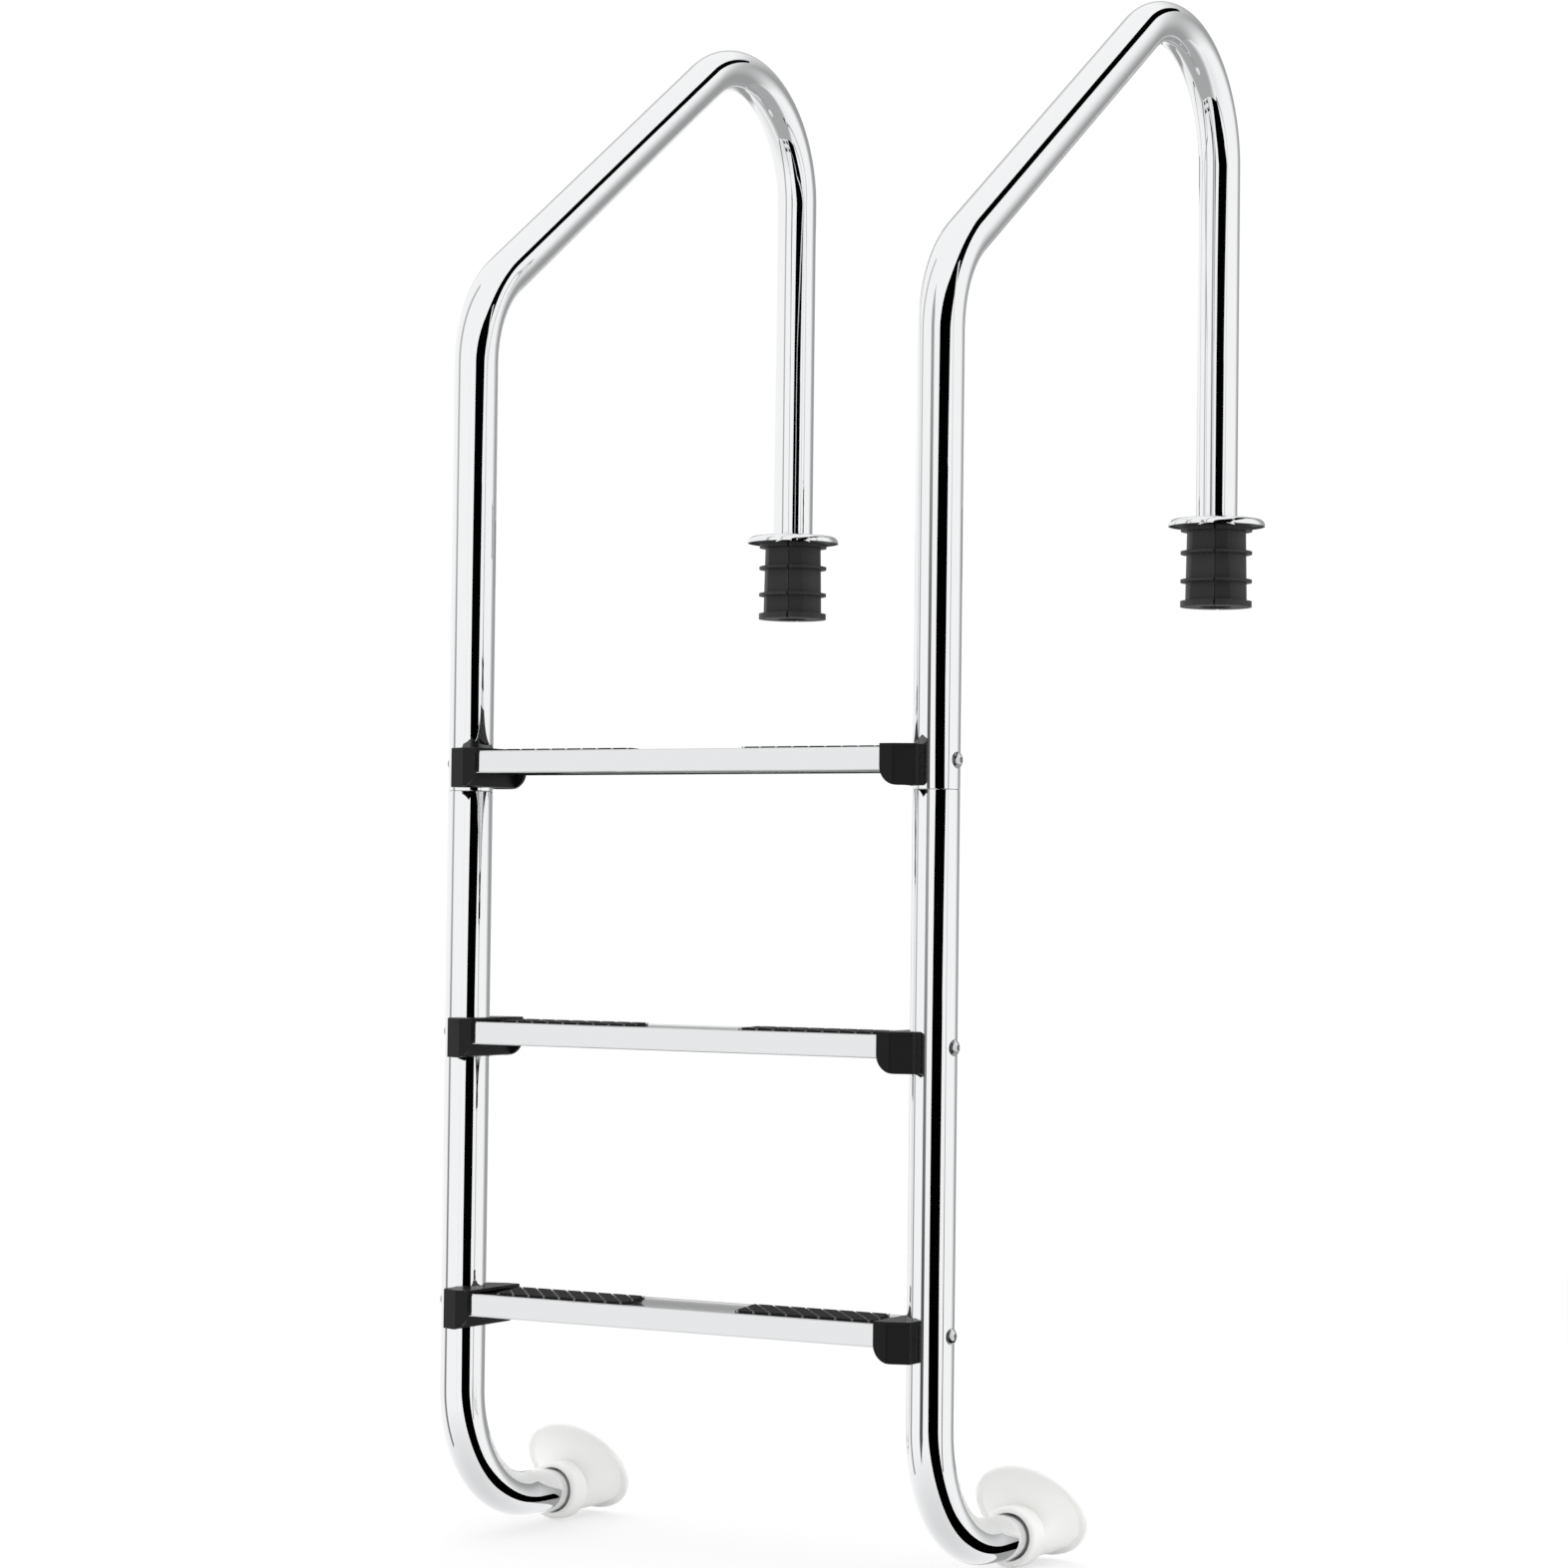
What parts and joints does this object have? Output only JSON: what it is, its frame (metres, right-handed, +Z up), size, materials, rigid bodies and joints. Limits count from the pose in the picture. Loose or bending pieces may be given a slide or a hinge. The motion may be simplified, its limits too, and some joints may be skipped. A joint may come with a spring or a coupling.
{
  "type": "pool ladder",
  "caption": "In-ground pool ladder: bent stainless handrails in ribbed deck anchors, channel treads with grip pads and moulded end caps, and soft bell bumpers at the feet.",
  "frame": {"origin": "at deck level, midway between the axes of the two deck anchors", "axes": "+Z up; +Y from the pool towards the deck; +X to the right of a swimmer who faces the ladder"},
  "size_m": [0.61, 0.7032, 1.5104],
  "materials": {
    "rail_tube": "mirror-polished stainless steel tube",
    "sleeve_steel": "plain drawn stainless steel tube",
    "tread_sheet": "polished stainless steel sheet, folded",
    "flange_steel": "polished pressed stainless steel",
    "fastener_steel": "stainless steel, as turned",
    "cap_plastic": "moulded black plastic, fine grain",
    "pad_rubber": "matte black, with glossy groove floors",
    "anchor_plastic": "moulded charcoal plastic",
    "bumper_rubber": "moulded white rubber, satin"
  },
  "bodies": {
    "ladder": {"anchor_left_a": "anchor_plastic", "anchor_left_b": "anchor_plastic", "anchor_right_a": "anchor_plastic", "anchor_right_b": "anchor_plastic", "end_cap_bottom_left": "cap_plastic", "end_cap_bottom_right": "cap_plastic", "end_cap_middle_left": "cap_plastic", "end_cap_middle_right": "cap_plastic", "end_cap_top_left": "cap_plastic", "end_cap_top_right": "cap_plastic", "grip_pad_bottom_left": "pad_rubber", "grip_pad_bottom_right": "pad_rubber", "grip_pad_middle_left": "pad_rubber", "grip_pad_middle_right": "pad_rubber", "grip_pad_top_left": "pad_rubber", "grip_pad_top_right": "pad_rubber", "handrail_left": "rail_tube", "handrail_right": "rail_tube", "joint_sleeve_left": "sleeve_steel", "joint_sleeve_right": "sleeve_steel", "lower_rail_left": "rail_tube", "lower_rail_right": "rail_tube", "tread_bolts": "fastener_steel", "tread_bottom": "tread_sheet", "tread_middle": "tread_sheet", "tread_nuts": "fastener_steel", "tread_top": "tread_sheet"},
    "escutcheon_left": {"escutcheon_left": "flange_steel"},
    "escutcheon_right": {"escutcheon_right": "flange_steel"},
    "bumper_left": {"bumper_left": "bumper_rubber"},
    "bumper_right": {"bumper_right": "bumper_rubber"}
  },
  "joints": [
    {"name": "escutcheon_slide_left", "type": "slide", "parent": "ladder", "child": "escutcheon_left", "axis": [0, 0, 1], "range_m": [0, 0.35]},
    {"name": "bumper_turn_left", "type": "hinge", "parent": "ladder", "child": "bumper_left", "pos_m": [-0.25, -0.42924, -0.96949], "axis": [0, 0.998, -0.0628], "continuous": true},
    {"name": "escutcheon_slide_right", "type": "slide", "parent": "ladder", "child": "escutcheon_right", "axis": [0, 0, 1], "range_m": [0, 0.35]},
    {"name": "bumper_turn_right", "type": "hinge", "parent": "ladder", "child": "bumper_right", "pos_m": [0.25, -0.42924, -0.96949], "axis": [0, 0.998, -0.0628], "continuous": true}
  ]
}
